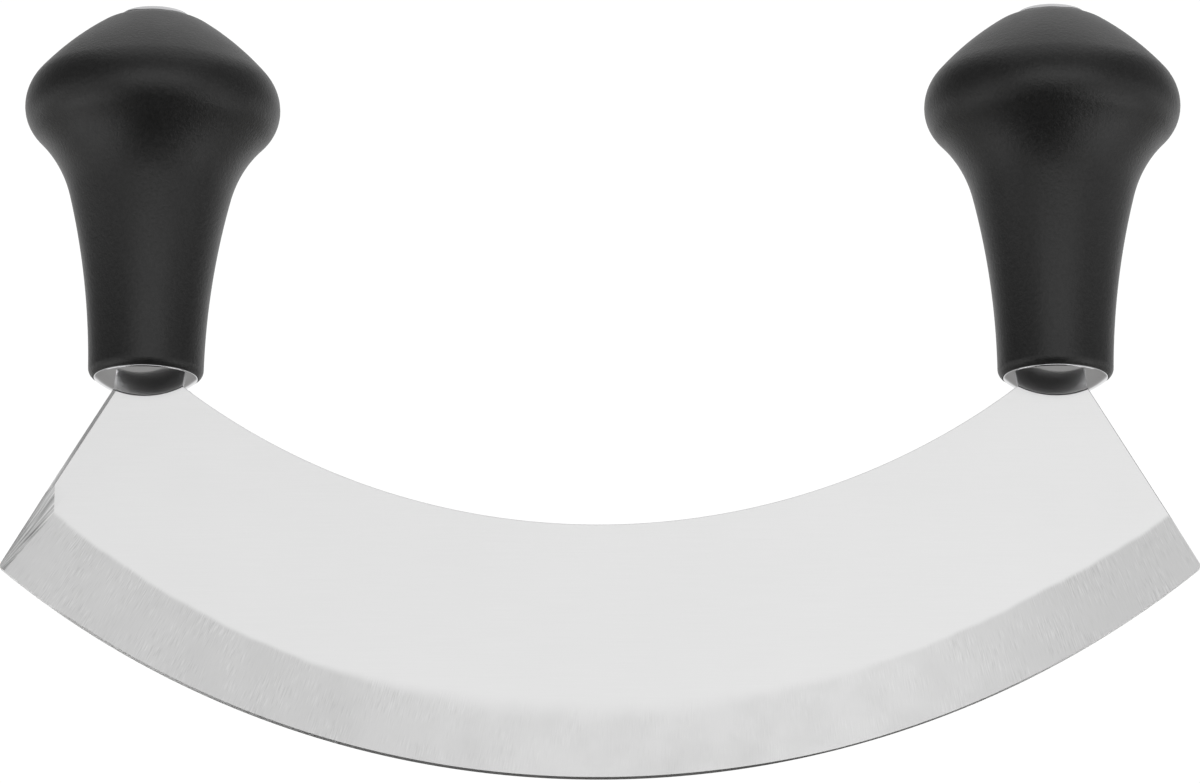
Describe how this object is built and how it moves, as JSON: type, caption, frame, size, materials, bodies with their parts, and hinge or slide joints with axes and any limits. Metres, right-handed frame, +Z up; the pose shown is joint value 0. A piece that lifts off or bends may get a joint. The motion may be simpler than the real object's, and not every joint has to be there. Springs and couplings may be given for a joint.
{
  "type": "mezzaluna",
  "caption": "Two-handled rocking chopper: a crescent blade with a ground round edge, and upright mushroom-shaped handles with domed ferrules.",
  "frame": {"origin": "lowest point of the cutting edge, in the middle of the blade and of its thickness", "axes": "+X along the blade towards the right handle, +Y through the blade away from its front face, +Z up along the handles"},
  "size_m": [0.2302, 0.0498, 0.1533],
  "materials": {
    "blade_steel": "satin",
    "polished_steel": "polished",
    "black_plastic": "satin",
    "plain_steel": "turned"
  },
  "bodies": {
    "root": {"blade": "blade_steel", "left_ferrule": "polished_steel", "left_handle": "black_plastic", "left_tie_rod": "plain_steel", "left_tang_rivets": "plain_steel", "left_washer": "plain_steel", "left_nut": "plain_steel", "left_end_cap": "polished_steel", "right_ferrule": "polished_steel", "right_handle": "black_plastic", "right_tie_rod": "plain_steel", "right_tang_rivets": "plain_steel", "right_washer": "plain_steel", "right_nut": "plain_steel", "right_end_cap": "polished_steel"}
  },
  "joints": []
}
